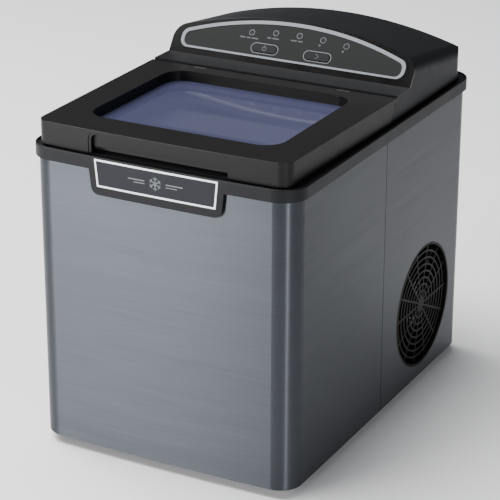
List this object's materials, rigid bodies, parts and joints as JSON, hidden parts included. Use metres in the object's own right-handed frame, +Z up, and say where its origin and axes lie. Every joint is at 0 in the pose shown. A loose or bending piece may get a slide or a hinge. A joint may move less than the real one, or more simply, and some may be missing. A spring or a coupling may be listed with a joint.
{
  "type": "countertop ice maker",
  "caption": "Countertop ice maker: brushed wraps, top band, hinged windowed lid, tilting water tray, lift-out basket, compressor, side fan and sloping control panel.",
  "frame": {"origin": "on the standing surface under the middle of the cabinet", "axes": "+Z up, -Y the front with the finger notch, +X the side with the round fan outlet"},
  "size_m": [0.242, 0.35, 0.3202],
  "materials": {
    "black_plastic": "moulded matte",
    "satin_black": "satin, fine moulded grain",
    "lid_black": "satin",
    "gloss_black": "polished",
    "grille_black": "moulded matte",
    "rubber": "matte",
    "hose_rubber": "smooth silicone",
    "steel": "zinc plated",
    "brushed_wrap": "dark brushed, horizontal grain",
    "bright_trim": "satin bright",
    "badge_grey": "satin",
    "white_plastic": "smooth, food safe",
    "clear_grey_plastic": "smooth",
    "foam": "rigid foam",
    "nickel": "nickel plated",
    "copper": "drawn copper",
    "aluminium": "rolled fins",
    "black_steel": "black enamel",
    "panel_grey": "printed membrane",
    "lens": "smoked lens",
    "button_black": "soft touch",
    "board_green": "solder mask",
    "window": "tinted clear"
  },
  "bodies": {
    "cabinet": {"badge_frame": "bright_trim", "badge_plate": "badge_grey", "base_tray": "black_plastic", "compressor": "black_steel", "compressor_grommets": "rubber", "condenser_fins": "aluminium", "condenser_tube": "copper", "control_board": "board_green", "control_fascia": "gloss_black", "control_housing": "satin_black", "control_panel": "panel_grey", "discharge_line": "copper", "drain_hose": "hose_rubber", "drain_spout": "black_plastic", "evaporator_plate": "nickel", "fan_frame": "black_plastic", "fan_grille": "grille_black", "fan_label": "bright_trim", "fan_screws": "steel", "fill_hose": "hose_rubber", "filter_drier": "copper", "foam_insulation": "foam", "foot_screws": "steel", "freezer_frame": "white_plastic", "freezing_rods": "nickel", "front_wrap": "brushed_wrap", "hinge_pins": "steel", "ice_chute": "white_plastic", "ice_sensors": "black_plastic", "indicator_lenses": "lens", "level_sensor": "white_plastic", "mains_inlet": "black_plastic", "panel_ring": "bright_trim", "rear_screws": "steel", "rear_wrap": "brushed_wrap", "rubber_feet": "rubber", "suction_line": "copper", "top_collar": "satin_black", "tray_motor": "black_plastic", "tub": "white_plastic", "water_pump": "black_plastic"},
    "lid": {"lid_frame": "lid_black", "lid_window": "window", "window_retainer": "black_plastic", "lid_gasket": "rubber"},
    "basket": {"ice_basket": "clear_grey_plastic"},
    "tray": {"water_tray": "white_plastic"},
    "fan": {"fan_rotor": "black_plastic"},
    "power_button": {"power_button": "button_black"},
    "select_button": {"select_button": "button_black"},
    "drain_cap": {"drain_cap": "black_plastic"}
  },
  "joints": [
    {"name": "lid_hinge", "type": "hinge", "parent": "cabinet", "child": "lid", "pos_m": [0, 0.0175, 0.2814], "axis": [-1, 0, 0], "range_deg": [0, 95]},
    {"name": "basket_lift", "type": "slide", "parent": "cabinet", "child": "basket", "axis": [0, 0, 1], "range_m": [0, 0.03]},
    {"name": "tray_tilt", "type": "hinge", "parent": "cabinet", "child": "tray", "pos_m": [0, -0.004, 0.216], "axis": [1, 0, 0], "range_deg": [0, 80]},
    {"name": "fan_spin", "type": "hinge", "parent": "cabinet", "child": "fan", "pos_m": [0.095, 0.084, 0.075], "axis": [1, 0, 0], "continuous": true},
    {"name": "power_press", "type": "slide", "parent": "cabinet", "child": "power_button", "axis": [0, 0.8192, -0.5736], "range_m": [0, 0.001], "stiffness_N_per_m": 600, "springref_m": -0.001},
    {"name": "select_press", "type": "slide", "parent": "cabinet", "child": "select_button", "axis": [0, 0.8192, -0.5736], "range_m": [0, 0.001], "stiffness_N_per_m": 600, "springref_m": -0.001},
    {"name": "drain_cap_turn", "type": "hinge", "parent": "cabinet", "child": "drain_cap", "pos_m": [0.024, 0.172, 0.038], "axis": [0, 1, 0], "range_deg": [0, 90]}
  ]
}
